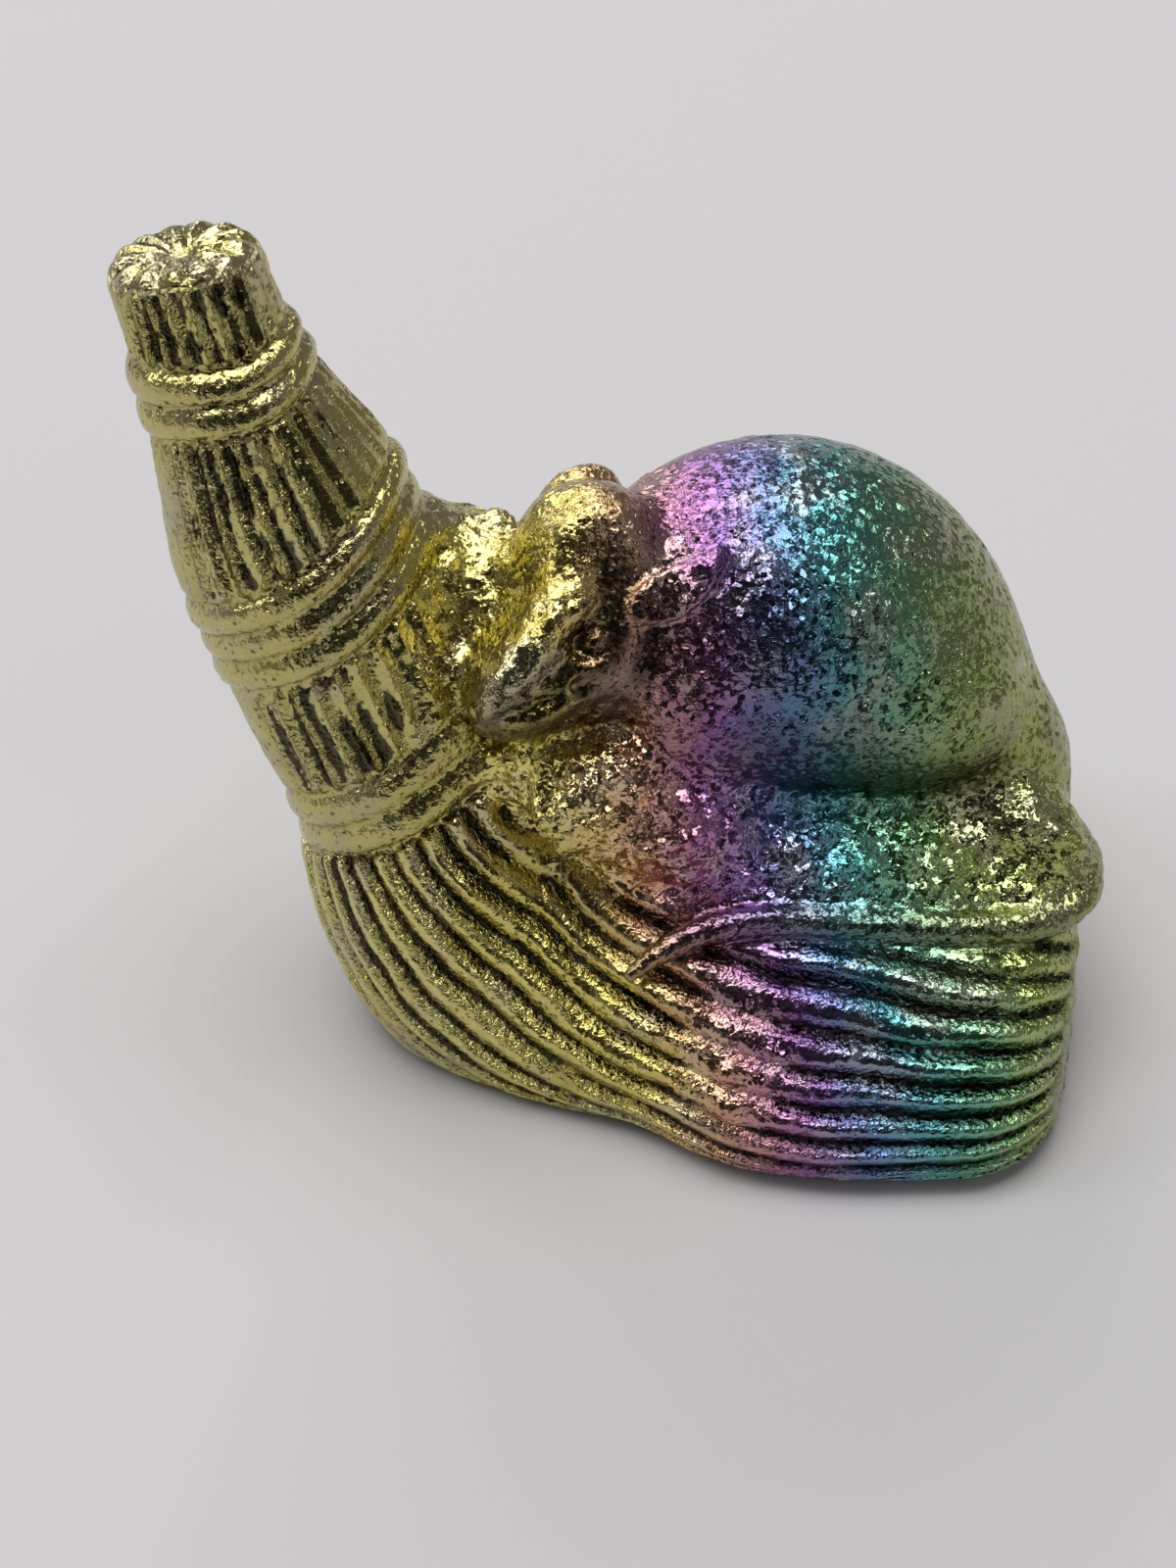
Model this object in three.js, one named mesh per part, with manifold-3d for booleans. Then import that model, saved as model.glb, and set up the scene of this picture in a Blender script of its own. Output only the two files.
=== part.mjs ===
// A cast bismuth figurine: a rat crouching on the spread head of a tied hand broom.
// The casting is one piece of metal, so it is one solid. Millimetres, +Z up, +X
// along the broom's head towards the bristle tips. The origin is on the ground,
// under the middle of the box that holds the figurine.
import * as THREE from "three";
import { mergeVertices } from "three/addons/utils/BufferGeometryUtils.js";
import Module from "manifold-3d";

const wasm = await Module();
wasm.setup();

const { lerp, clamp, smoothstep, degToRad } = THREE.MathUtils;
const FULL_TURN = 2 * Math.PI;
const UP = new THREE.Vector3(0, 0, 1);
const CLOSE_STEP = 0.1; // from the last row of a skin to the point that closes it

// The sizes and places below are drawn from a point under the rat's chest. The finished
// part is moved so that its origin is here, in that drawing's x and y.
const BOX_MIDDLE = [2.45, 0.8];

// Driving dimensions of the handle, a bundle of straw tied in three places

const HANDLE_TOP = 44.9; // height of the cut ends of the straw
const HANDLE_FOOT = 10; // the handle runs this far down inside the broom's head
const NECK = [-9.6, 0.6, 16.5]; // middle of the lowest tie
const LEAN = -0.352; // x gained for each millimetre of height, at the neck
const LEAN_EASE = 0.0019; // how the lean eases towards the top
const SWAY = 0.105; // y gained for each millimetre of height
const HANDLE_RADIUS = [
  [10, 7.0],
  [16.5, 6.75],
  [20, 6.4],
  [23.5, 6.25],
  [27.6, 6.3],
  [31, 6.35],
  [35.5, 5.0],
  [38, 4.35],
  [40, 4.1],
  [42, 3.95],
  [44.5, 3.95],
];
const TIES = [
  { height: 16.6, turns: 2, pitch: 1.8 },
  { height: 27.9, turns: 3, pitch: 1.6 },
  { height: 38.9, turns: 2, pitch: 1.5 },
];
const TIE_DEPTH = 0.45; // how far a turn of cord stands out
// Height, and degrees by which the section there dips to the left of square
const SECTION_TILT = [
  [16, 9],
  [30, 9],
  [39, 5],
  [44.5, -5],
];
// Heights of the rows of vertices between the ties
const PLAIN_HEIGHTS = [41.6, 35.4, 33, 23.4, 20.4, 13];
const STRAWS = 24; // ridges round the handle
const STRAW_DEPTH = 0.16;
const TOP_EDGE = 1.3; // roundness of the handle's top edge

// Driving dimensions of the broom's head: bristles that turn from the neck and fan out

const TURN_LINE = [1.5, 0.8, 17.6]; // the line across the broom that the bristles turn round
const HEEL_TURN = degToRad(72); // how far the bristles turn round it
const HEEL_RUN = 14; // length of that turn, measured at mid depth
const NECK_RUN = 1; // how far the bristles run up into the handle
const FLAT_RUN = 24.5; // from the end of the turn to the tips
const TIP_SWEEP = 0.012; // fall back of the tips' arc, per square millimetre of y
const TIP_EDGE = 1.2; // roundness of the cut ends
// Stations of the rows of vertices, from the neck to the tips' rounded edge
const HEAD_ROWS = [0.5, 2, 4.5, 7, 9.5, 12, 14.5, 17, 20, 23.5, 27.5, 32];
const BRISTLES = 40; // ridges round the head
const BRISTLE_DEPTH = 0.3;
// Along the bristles: station, half width, then distances from the turn line, outwards:
// of the top, of the widest line and of the underside
const HEAD_SECTIONS = [
  [-1, 6.2, 4.7, 11.1, 17.4],
  [2, 7.5, 3.9, 11.4, 18.9],
  [7, 9.7, 3.4, 12.8, 21.6],
  [14, 13.4, 3.6, 14.8, 19.4],
  [23, 17.4, 4.6, 15.7, 18.0],
  [32, 18.0, 5.8, 15.8, 18.0],
  [38.5, 17.8, 7.0, 15.8, 18.0],
];

// Driving dimensions of the rat, as [x, y, z, radius] along each of its limbs

const BODY = [
  [0.0, 0.2, 27.8, 3.6],
  [3.6, 1.4, 26.0, 7.0],
  [7.4, 2.8, 23.4, 9.4],
  [11.0, 3.4, 21.6, 10.3],
  [15.0, 3.0, 19.2, 9.6],
  [19.2, 1.4, 16.0, 7.2],
  [23.6, -1.0, 12.4, 3.2],
];
const HEAD = [
  [3.4, 0.8, 27.6, 4.4],
  [0.0, -0.6, 27.4, 4.6],
  [-2.2, -2.6, 24.8, 3.4],
  [-4.4, -4.4, 22.4, 2.3],
  [-5.4, -5.2, 21.3, 1.7],
];
const TAIL = [
  [22.5, -1.2, 12.0, 1.9],
  [25.0, -3.4, 11.2, 1.5],
  [25.4, -6.0, 10.3, 1.25],
  [21.5, -8.0, 10.3, 1.15],
  [16.0, -8.5, 10.7, 1.1],
  [10.0, -8.4, 11.7, 1.05],
  [6.0, -8.8, 11.8, 1.0],
  [3.2, -9.8, 11.0, 0.95],
  [1.2, -11.0, 9.8, 0.5],
];
const NEAR_FOREPAW = [
  [1.6, -4.6, 20.0, 2.2],
  [-0.8, -5.6, 18.6, 1.8],
  [-3.2, -6.0, 17.4, 1.3],
];
const NEAR_HIND_FOOT = [
  [19.0, -3.0, 14.8, 2.4],
  [22.6, -4.0, 13.0, 1.8],
  [24.8, -4.4, 12.0, 1.3],
];
// Rounded masses: centre, radii along its own axes, turn about x, y and z in degrees
const NEAR_HAUNCH = [[16.4, -1.0, 18.8], [6.2, 5.4, 6.2], [0, 25, 0]];
const NEAR_SHOULDER = [[5.6, -1.6, 21.4], [4.4, 4.2, 5.4], [0, -20, 0]];
const CHEEK = [[0.6, -2.2, 24.0], [3.4, 3.2, 3.6], [0, 0, 0]];
const NEAR_EAR = [[5.0, -3.0, 29.2], [2.6, 1.2, 1.6], [10, -30, 8]];
const FAR_EAR = [[0.9, 3.2, 30.2], [1.9, 1.5, 1.9], [0, 10, 0]];
const NEAR_BROW = [[0.6, -4.3, 27.0], [1.9, 1.0, 1.2], [0, -40, 25]];
const MIDDLE = { face: -1.2, forepaws: 1.4, shoulders: 2.4, haunches: 3.0, hindFeet: 2.6 };
// Metal that fills the corner between the handle and the rat's chest
const WEB = [
  [-11.0, 1.8, 25.4, 4.6],
  [-6.6, 1.8, 25.3, 4.8],
  [-2.4, 1.6, 22.4, 5.8],
  [2.0, 1.6, 17.6, 7.0],
  [6.0, 2.0, 13.0, 7.0],
];

const BELOW = 100; // size of the block that grinds the foot flat

// Shapes and how they are joined

// A closed skin: a sphere's grid of vertices, each moved to place(row, angle). All of
// row 0 is one point, and so is all of the last row.
function skin(around, rows, place) {
  const geometry = new THREE.SphereGeometry(1, around, rows);
  const position = geometry.getAttribute("position");
  const uv = geometry.getAttribute("uv");
  for (let i = 0; i < position.count; i++) {
    const row = Math.round((1 - uv.getY(i)) * rows);
    const column = Math.round(uv.getX(i) * around) % around;
    const p = place(row, (-FULL_TURN * column) / around);
    position.setXYZ(i, p.x, p.y, p.z);
  }
  return solid(geometry);
}

// A limb through [x, y, z, radius] points, with round ends. Its rows lie closer at the ends.
function limb(points, around, rows) {
  const path = new THREE.CatmullRomCurve3(points.map(([x, y, z]) => new THREE.Vector3(x, y, z)));
  const girth = new THREE.CatmullRomCurve3(points.map((p) => new THREE.Vector3(p[3], 0, 0)));
  return skin(around, rows, (row, angle) => {
    const turn = Math.PI * (row / rows);
    const t = (1 - Math.cos(turn)) / 2;
    const along = path.getTangent(t);
    const side = UP.clone().cross(along).normalize();
    const over = along.clone().cross(side);
    const radius = girth.getPoint(t).x * Math.sqrt(Math.sin(turn));
    return path
      .getPoint(t)
      .addScaledVector(side, radius * Math.cos(angle))
      .addScaledVector(over, radius * Math.sin(angle));
  });
}

// An ellipsoid with its radii along its own axes, turned in degrees and set at a centre.
function mass([centre, radii, turn], around = 14) {
  const geometry = new THREE.SphereGeometry(1, around, Math.round(around * 0.6));
  geometry.scale(...radii);
  const euler = new THREE.Euler(...turn.map(degToRad), "ZYX");
  geometry.applyQuaternion(new THREE.Quaternion().setFromEuler(euler));
  geometry.translate(...centre);
  return solid(geometry);
}

// The same limb or mass on the far side of the rat's middle, which lies at y.
const acrossLimb = (points, y) => points.map((p) => [p[0], 2 * y - p[1], p[2], p[3]]);
const acrossMass = ([c, radii, t], y) => [[c[0], 2 * y - c[1], c[2]], radii, [-t[0], t[1], -t[2]]];

function solid(geometry) {
  geometry.deleteAttribute("normal");
  geometry.deleteAttribute("uv");
  const merged = mergeVertices(geometry, 1e-4);
  return new wasm.Manifold(
    new wasm.Mesh({
      numProp: 3,
      vertProperties: new Float32Array(merged.getAttribute("position").array),
      triVerts: new Uint32Array(merged.getIndex().array),
    }),
  );
}

// A smooth reading of a table: column 0 is what it is read by, and the rest is the answer.
function smoothly(table) {
  const places = table.map((row) => row[0]);
  const values = table.flatMap((row) => row.slice(1));
  const curve = new THREE.CubicInterpolant(places, values, table[0].length - 1);
  return (x) => [...curve.evaluate(x)];
}

// How far a rounded edge has drawn in where the surface is still this far below its end.
const edgeInset = (below, radius) =>
  radius * (1 - Math.sqrt(1 - clamp(1 - below / radius, 0, 1) ** 2));

// The handle

const handleRadius = smoothly(HANDLE_RADIUS);
const sectionTilt = smoothly(SECTION_TILT);

const handleMiddle = (z) => {
  const rise = z - NECK[2];
  return new THREE.Vector3(
    NECK[0] + LEAN * rise + LEAN_EASE * rise ** 2,
    NECK[1] + SWAY * rise,
    z,
  );
};

// Heights of the handle's rows: every crest and hollow of the ties, and plain ones between.
function handleHeights() {
  const edge = [0, 0.2, 0.7, 1].map((share) => HANDLE_TOP - share * TOP_EDGE);
  const heights = [...edge, ...PLAIN_HEIGHTS, HANDLE_FOOT, HANDLE_FOOT - CLOSE_STEP];
  for (const { height, turns, pitch } of TIES)
    for (let k = -turns; k <= turns; k++) heights.push(height + (k * pitch) / 2);
  return heights.sort((a, b) => b - a);
}

// 1 on the crest of a turn of cord, 0 in the hollow beside it, and null away from the ties.
function cordAt(z) {
  for (const { height, turns, pitch } of TIES) {
    const along = (z - height) / pitch + turns / 2;
    if (along > -0.01 && along < turns + 0.01) return (1 - Math.cos(FULL_TURN * along)) / 2;
  }
  return null;
}

function handle() {
  const heights = handleHeights();
  const last = heights.length - 1;
  return skin(2 * STRAWS, last, (row, angle) => {
    const z = heights[row];
    const middle = handleMiddle(z);
    if (row === 0 || row === last) return middle;
    const down = handleMiddle(z - 1).sub(middle).normalize();
    const side = new THREE.Vector3(0, 1, 0).cross(down).normalize();
    const across = down.clone().cross(side);
    const tilt = degToRad(sectionTilt(z)[0]);
    side.multiplyScalar(Math.cos(tilt)).addScaledVector(down, Math.sin(tilt));
    const cord = cordAt(z);
    const relief = cord === null ? STRAW_DEPTH * Math.cos(angle * STRAWS) : TIE_DEPTH * cord;
    const inset = edgeInset(HANDLE_TOP - z, TOP_EDGE);
    const radius = handleRadius(z)[0] + relief - inset;
    return middle
      .addScaledVector(side, radius * Math.cos(angle))
      .addScaledVector(across, radius * Math.sin(angle));
  });
}

// The broom's head

const headSection = smoothly(HEAD_SECTIONS);

// The point of the head at a station along the bristles, a distance from the turn line and y.
function headPoint(station, depth, y) {
  const turned = HEEL_TURN * clamp(station / HEEL_RUN, 0, 1);
  const way = -Math.PI / 2 - HEEL_TURN + turned;
  const neck = Math.min(station, 0);
  const flat = Math.max(station - HEEL_RUN, 0);
  return new THREE.Vector3(
    TURN_LINE[0] + depth * Math.cos(way) - neck * Math.sin(way) + flat,
    TURN_LINE[1] + y,
    TURN_LINE[2] + depth * Math.sin(way) + neck * Math.cos(way),
  );
}

function broomHead() {
  const end = HEEL_RUN + FLAT_RUN;
  const edge = [1, 0.3, 0].map((share) => end - share * TIP_EDGE);
  const stations = [-NECK_RUN, -NECK_RUN + CLOSE_STEP, ...HEAD_ROWS, ...edge, end];
  const last = stations.length - 1;
  return skin(2 * BRISTLES, last, (row, angle) => {
    const station = stations[row];
    const [half, top, widest, bottom] = headSection(station);
    const fanned = smoothstep(station, 0, HEEL_RUN);
    const below = Math.cos(angle) > 0;
    const power = lerp(2, below ? 2.8 : 1.9, fanned);
    const inset = edgeInset(end - station, TIP_EDGE);
    const relief = BRISTLE_DEPTH * Math.cos(angle * BRISTLES) - inset;
    const closed = row === 0 || row === last ? 0 : 1;
    const share = (v) => Math.sign(v) * Math.abs(v) ** (2 / power) * closed;
    const y = share(Math.sin(angle)) * (half + relief);
    const drop = share(Math.cos(angle)) * ((below ? bottom - widest : widest - top) + relief);
    const p = headPoint(station, widest + drop, y);
    p.x -= TIP_SWEEP * y * y * smoothstep(station, HEEL_RUN, end);
    return p;
  });
}

// The rat and the metal round it

function rat() {
  const limbs = [
    NEAR_FOREPAW,
    NEAR_HIND_FOOT,
    acrossLimb(NEAR_FOREPAW, MIDDLE.forepaws),
    acrossLimb(NEAR_HIND_FOOT, MIDDLE.hindFeet),
  ];
  const flesh = [
    NEAR_HAUNCH,
    NEAR_SHOULDER,
    acrossMass(NEAR_HAUNCH, MIDDLE.haunches),
    acrossMass(NEAR_SHOULDER, MIDDLE.shoulders),
  ];
  const face = [NEAR_EAR, FAR_EAR, CHEEK, NEAR_BROW, acrossMass(NEAR_BROW, MIDDLE.face)];
  return [
    limb(BODY, 26, 18),
    limb(HEAD, 14, 9),
    limb(TAIL, 8, 26),
    ...limbs.map((points) => limb(points, 8, 6)),
    ...flesh.map((m) => mass(m, 14)),
    ...face.map((m) => mass(m, 10)),
  ];
}

// One casting, with its foot ground flat

function casting() {
  const pieces = [handle(), broomHead(), limb(WEB, 12, 9), ...rat()];
  const whole = pieces.reduce((joined, piece) => joined.add(piece));
  const below = new THREE.BoxGeometry(BELOW, BELOW, BELOW).translate(0, 0, -BELOW / 2);
  const mesh = whole.subtract(solid(below)).getMesh();
  const geometry = new THREE.BufferGeometry();
  geometry.setAttribute("position", new THREE.BufferAttribute(mesh.vertProperties, 3));
  geometry.setIndex(new THREE.BufferAttribute(mesh.triVerts, 1));
  geometry.computeVertexNormals();
  return geometry;
}

const bismuth = new THREE.MeshStandardMaterial({ color: 0xa89a3c, roughness: 0.35, metalness: 1 });
const rat_on_broom = new THREE.Mesh(casting(), bismuth);
rat_on_broom.name = "rat_on_broom";
rat_on_broom.position.set(-BOX_MIDDLE[0], -BOX_MIDDLE[1], 0);

const figurine = new THREE.Group();
figurine.add(rat_on_broom);
export default figurine;
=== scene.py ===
# A cast bismuth figurine: a rat crouching on the spread head of a tied hand broom.
# It is one casting, so every section below gives the shape of one of its features, and
# "The casting" pours them all into one skin. Shapes are in millimetres, x along the broom
# towards the bristle tips and z up; the skin is made in metres.
import math

import bpy
import numpy as np
from mathutils import Euler, Matrix, Vector


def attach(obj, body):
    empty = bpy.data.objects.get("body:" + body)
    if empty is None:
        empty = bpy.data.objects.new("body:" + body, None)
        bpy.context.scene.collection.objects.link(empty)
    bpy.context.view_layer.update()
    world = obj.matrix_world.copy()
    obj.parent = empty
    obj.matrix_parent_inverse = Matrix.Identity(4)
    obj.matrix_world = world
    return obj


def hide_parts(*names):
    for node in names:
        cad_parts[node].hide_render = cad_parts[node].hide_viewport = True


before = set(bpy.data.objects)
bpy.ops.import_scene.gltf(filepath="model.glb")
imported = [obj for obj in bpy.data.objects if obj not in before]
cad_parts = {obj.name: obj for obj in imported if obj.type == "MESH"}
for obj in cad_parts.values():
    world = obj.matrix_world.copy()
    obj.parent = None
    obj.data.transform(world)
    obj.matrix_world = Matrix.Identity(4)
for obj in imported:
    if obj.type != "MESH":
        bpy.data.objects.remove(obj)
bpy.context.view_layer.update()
MM = 0.001

# The shapes are drawn from a point under the rat's chest. The part's origin is here in
# that drawing, on the ground under the middle of its box.
BOX_MIDDLE = np.array([2.45, 0.8, 0.0])


# The camera
# It looks down on the figurine's near side through a long lens, tipped a little to one
# side as the hand that held it was.

LOOK_AT = Vector((0.0, 0.0, 14.0)) - Vector(BOX_MIDDLE)
CAMERA_DISTANCE = 155.0
LOOK_DOWN = math.radians(40.0)
CAMERA_ROLL = math.radians(2.5)

camera = bpy.data.objects.new("camera", bpy.data.cameras.new("camera"))
bpy.context.scene.collection.objects.link(camera)
bpy.context.scene.camera = camera
camera.data.lens = 67.5
camera.data.sensor_width = 36.0
camera.data.clip_start = 0.01
backwards = Vector((0.0, -math.cos(LOOK_DOWN), math.sin(LOOK_DOWN)))
level = Vector((1.0, 0.0, 0.0))
upright = backwards.cross(level)
right = math.cos(CAMERA_ROLL) * level - math.sin(CAMERA_ROLL) * upright
up = math.cos(CAMERA_ROLL) * upright + math.sin(CAMERA_ROLL) * level
camera.matrix_world = Matrix.Translation((LOOK_AT + CAMERA_DISTANCE * backwards) * MM) @ Matrix(
    (right, up, backwards)
).transposed().to_4x4()


# The table and the light
# A plain pale sheet under soft light from above and behind. A dark card stands in front,
# round the camera, because bare metal shows its form by what it mirrors. Only mirror
# images see the card.

FLOOR_SIZE = 2.4
FLOOR_COLOR = (0.50, 0.49, 0.495, 1.0)
STUDIO_COLOR = (0.62, 0.62, 0.6324, 1.0)
STUDIO_STRENGTH = 0.30
LIT_HEIGHT = 0.015
CARD_COLOR = (0.012, 0.012, 0.013, 1.0)
CARD_DISTANCE = 0.085
CARD_HALF_ANGLE = math.radians(40.0)
CARD_TILT = math.radians(27.0)
CARD_RINGS = 10
CARD_SIDES = 48
CARD_LOWEST = 0.0005


def plain_material(name, color, roughness):
    """A plain matt material for what isn't part of the figurine."""
    material = bpy.data.materials.new(name)
    material.use_nodes = True
    shader = material.node_tree.nodes["Principled BSDF"]
    shader.inputs["Base Color"].default_value = color
    shader.inputs["Roughness"].default_value = roughness
    return material


def mesh_object(name, points, faces, material):
    """A new object of these points and faces, in the scene."""
    mesh = bpy.data.meshes.new(name)
    mesh.from_pydata(points, [], faces)
    mesh.materials.append(material)
    obj = bpy.data.objects.new(name, mesh)
    bpy.context.scene.collection.objects.link(obj)
    return obj


def area_light(name, place, size, watts):
    """A soft light that looks at the figurine."""
    light = bpy.data.objects.new(name, bpy.data.lights.new(name, "AREA"))
    bpy.context.scene.collection.objects.link(light)
    light.data.shape = "RECTANGLE"
    light.data.size, light.data.size_y = size
    light.data.energy = watts
    light.location = place
    aim = Vector((0, 0, LIT_HEIGHT)) - Vector(place)
    light.rotation_euler = aim.to_track_quat("-Z", "Y").to_euler()
    return light


half = FLOOR_SIZE / 2
floor_corners = [(-half, -half, 0), (half, -half, 0), (half, half, 0), (-half, half, 0)]
floor_material = plain_material("pale_sheet", FLOOR_COLOR, 0.85)
floor = mesh_object("pale_sheet", floor_corners, [(0, 1, 2, 3)], floor_material)

ahead = Vector((0.0, -math.cos(CARD_TILT), math.sin(CARD_TILT)))
across = Vector((1.0, 0.0, 0.0))
card_points = [ahead * CARD_DISTANCE]
for ring in range(1, CARD_RINGS + 1):
    spread = CARD_HALF_ANGLE * ring / CARD_RINGS
    for side in range(CARD_SIDES):
        way = 2 * math.pi * side / CARD_SIDES
        out = across * math.cos(way) + ahead.cross(across) * math.sin(way)
        card_points.append((ahead * math.cos(spread) + out * math.sin(spread)) * CARD_DISTANCE)
card_points = [(x, y, max(z + LIT_HEIGHT, CARD_LOWEST)) for x, y, z in card_points]
card_faces = [(0, 1 + side, 1 + (side + 1) % CARD_SIDES) for side in range(CARD_SIDES)]
for ring in range(CARD_RINGS - 1):
    first = 1 + ring * CARD_SIDES
    for side in range(CARD_SIDES):
        after = (side + 1) % CARD_SIDES
        outer = first + CARD_SIDES
        card_faces.append((first + side, outer + side, outer + after, first + after))
card = mesh_object("dark_card", card_points, card_faces, plain_material("dark_card", CARD_COLOR, 0.9))
card.visible_camera = False
card.visible_diffuse = False
card.visible_shadow = False
card.visible_transmission = False

area_light("overhead", (-0.05, 0.08, 1.55), (1.4, 1.1), 20.0)
area_light("behind", (-0.45, 1.50, 1.00), (1.5, 0.8), 13.5)
area_light("left", (-1.25, 0.20, 1.05), (0.7, 0.7), 5.5)
area_light("front", (0.70, -1.10, 1.20), (1.0, 0.6), 2.5)

world = bpy.data.worlds.new("studio")
bpy.context.scene.world = world
world.use_nodes = True
background = world.node_tree.nodes["Background"]
background.inputs["Color"].default_value = STUDIO_COLOR
background.inputs["Strength"].default_value = STUDIO_STRENGTH
bpy.context.scene.view_settings.view_transform = "Standard"


# The handle
# A bundle of straw, cut square at the top, that leans back from the broom's head and
# swells below its middle. In the real broom it is loose straw held by its ties.

HANDLE_TOP = 44.9
HANDLE_FOOT = 10.0
HANDLE_MIDDLE = [
    (0, -3.3),
    (10, -7.2),
    (16.5, -9.5),
    (20, -10.95),
    (23.5, -12.15),
    (27.6, -13.4),
    (31, -14.5),
    (35.5, -15.9),
    (38, -16.6),
    (40, -17.1),
    (42, -17.5),
    (44.5, -18.0),
    (60, -21.5),
]
SWAY = 0.105
SWAY_START = (16.5, 0.6)
HANDLE_RADIUS = [
    (10, 7.0),
    (16.5, 6.45),
    (20, 6.45),
    (23.5, 6.4),
    (27.6, 6.25),
    (31, 6.3),
    (35.5, 5.0),
    (38, 4.3),
    (40, 4.0),
    (42, 3.8),
    (44.5, 3.8),
]
SECTION_TILT = [(16, 9), (30, 9), (39, 5), (44.5, -5)]
STRAWS = 32
KNOB_STRAWS = 24
TOP_EDGE = 1.3
TOP_HOLLOW = 0.5
TOP_HOLLOW_RADIUS = 0.8
HANDLE_ROUNDS = 4


def smoothly(table):
    """A smooth reading of a table: column 0 is what it is read by, and the rest is the answer."""
    table = np.array(table, float)
    places, values = table[:, 0], table[:, 1:]
    slopes = np.diff(values, axis=0) / np.diff(places)[:, None]
    tangents = np.vstack([slopes[:1], (slopes[1:] + slopes[:-1]) / 2, slopes[-1:]])

    def read(x):
        x = np.clip(x, places[0], places[-1])
        i = np.clip(np.searchsorted(places, x) - 1, 0, len(places) - 2)
        step = (places[i + 1] - places[i])[:, None]
        t = (x - places[i])[:, None] / step
        rise = (2 * t**3 - 3 * t**2 + 1) * values[i] + (3 * t**2 - 2 * t**3) * values[i + 1]
        return rise + step * ((t**3 - 2 * t**2 + t) * tangents[i] + (t**3 - t**2) * tangents[i + 1])

    return read


def smoothstep(x, start, end):
    """0 at the start and 1 at the end, running smoothly between them."""
    t = np.clip((x - start) / (end - start), 0, 1)
    return t * t * (3 - 2 * t)


def joined(a, b, fillet):
    """The distance to two shapes run together, with a fillet where they meet."""
    share = np.clip(0.5 + 0.5 * (b - a) / fillet, 0, 1)
    return b + (a - b) * share - fillet * share * (1 - share)


def carved(a, b, fillet):
    """The distance to shape a with shape b cut out of it, with a soft edge."""
    return -joined(-a, b, fillet)


def trimmed(a, b, edge):
    """The distance to what two shapes share, with a rounded edge where their skins cross."""
    a, b = a + edge, b + edge
    outside = np.hypot(np.maximum(a, 0), np.maximum(b, 0))
    return np.minimum(np.maximum(a, b), 0) + outside - edge


handle_radius = smoothly(HANDLE_RADIUS)
section_tilt = smoothly(SECTION_TILT)
handle_middle_x = smoothly(HANDLE_MIDDLE)


def handle_middle(z):
    """The middle of the handle at these heights."""
    return np.stack([handle_middle_x(z)[:, 0], SWAY_START[1] + SWAY * (z - SWAY_START[0]), z], 1)


def in_handle(p):
    """Where points are in the handle: height along it, distance from its middle, angle round it."""
    z = p[:, 2].copy()
    for _ in range(HANDLE_ROUNDS):
        along = handle_middle(z + 0.5) - handle_middle(z - 0.5)
        down = -along / np.linalg.norm(along, axis=1)[:, None]
        side = np.cross([0.0, 1.0, 0.0], down)
        side /= np.linalg.norm(side, axis=1)[:, None]
        across = np.cross(down, side)
        tilt = np.radians(section_tilt(z))
        side = side * np.cos(tilt) + down * np.sin(tilt)
        square = np.cross(side, across)
        gap = p - handle_middle(z)
        z = np.clip(z + (gap * square).sum(1) / (along * square).sum(1), 0, HANDLE_MIDDLE[-1][0])
    gap = p - handle_middle(z)
    u, v = (gap * side).sum(1), (gap * across).sum(1)
    return z, np.hypot(u, v), np.arctan2(v, u)


# The ties
# Three bands of cord that hold the straw: two turns at the neck, three below the middle
# and two under the cut top. Each turn stands out as a round ridge.

TIES = [
    {"height": 16.6, "turns": 2, "pitch": 1.8},
    {"height": 27.9, "turns": 3, "pitch": 1.6},
    {"height": 38.9, "turns": 2, "pitch": 1.5},
]
TIE_DEPTH = 0.62
TIE_BITE = 0.25
TIE_SLANT = 0.35


def cord_at(z, angle):
    """How far the cord stands out there, in tie depths, and 1 where there is a tie."""
    stand, tied = np.zeros_like(z), np.zeros_like(z)
    for k, tie in enumerate(TIES):
        slant = TIE_SLANT * tie["pitch"] * (np.sin(angle + 2.1 * k) + 0.3 * np.sin(3 * angle + k))
        along = (z - tie["height"] + slant) / tie["pitch"] + tie["turns"] / 2
        here = (along > 0) & (along < tie["turns"])
        across_turn = 2 * (along % 1.0) - 1
        stand = np.where(here, np.sqrt(1 - across_turn**2), stand)
        near = np.abs(along - tie["turns"] / 2) - tie["turns"] / 2
        tied = np.maximum(tied, 1 - smoothstep(near, 0.0, 0.3))
    return stand, tied


def handle(p):
    z, out, angle = in_handle(p)
    stand, tied = cord_at(z, angle)
    radius = handle_radius(z)[:, 0] + TIE_DEPTH * stand - TIE_BITE * tied
    hollow = TOP_HOLLOW * np.exp(-((out / TOP_HOLLOW_RADIUS) ** 2))
    return trimmed(out - radius, np.maximum(z - HANDLE_TOP + hollow, HANDLE_FOOT - z), TOP_EDGE)


# The broom's head
# The bristles turn from the neck, run out level and fan to a flat foot. They are cut
# along an arc at the tips.

TURN_LINE = np.array([1.5, 0.8, 17.6])
HEEL_TURN = math.radians(72)
HEEL_RUN = 14.0
NECK_RUN = 1.0
FLAT_RUN = 24.5
TIP_SWEEP = 0.012
TIP_EDGE = 4.0
BRISTLES = [(0, 30), (10, 36), (20, 41), (38.5, 52)]
NECK_ROUNDNESS = 2.0
UNDERSIDE_ROUNDNESS = 2.8
TOP_ROUNDNESS = 1.9
HEAD_SECTIONS = [
    (-1, 6.2, 4.7, 11.1, 17.4),
    (2, 7.5, 3.9, 11.4, 18.9),
    (7, 9.7, 3.4, 12.8, 22.1),
    (14, 13.2, 3.6, 14.8, 19.4),
    (18.5, 16.2, 4.1, 15.3, 18.6),
    (23, 17.4, 4.6, 15.7, 18.0),
    (32, 18.0, 5.8, 15.8, 18.0),
    (38.5, 17.8, 7.0, 15.8, 18.0),
]
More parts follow.
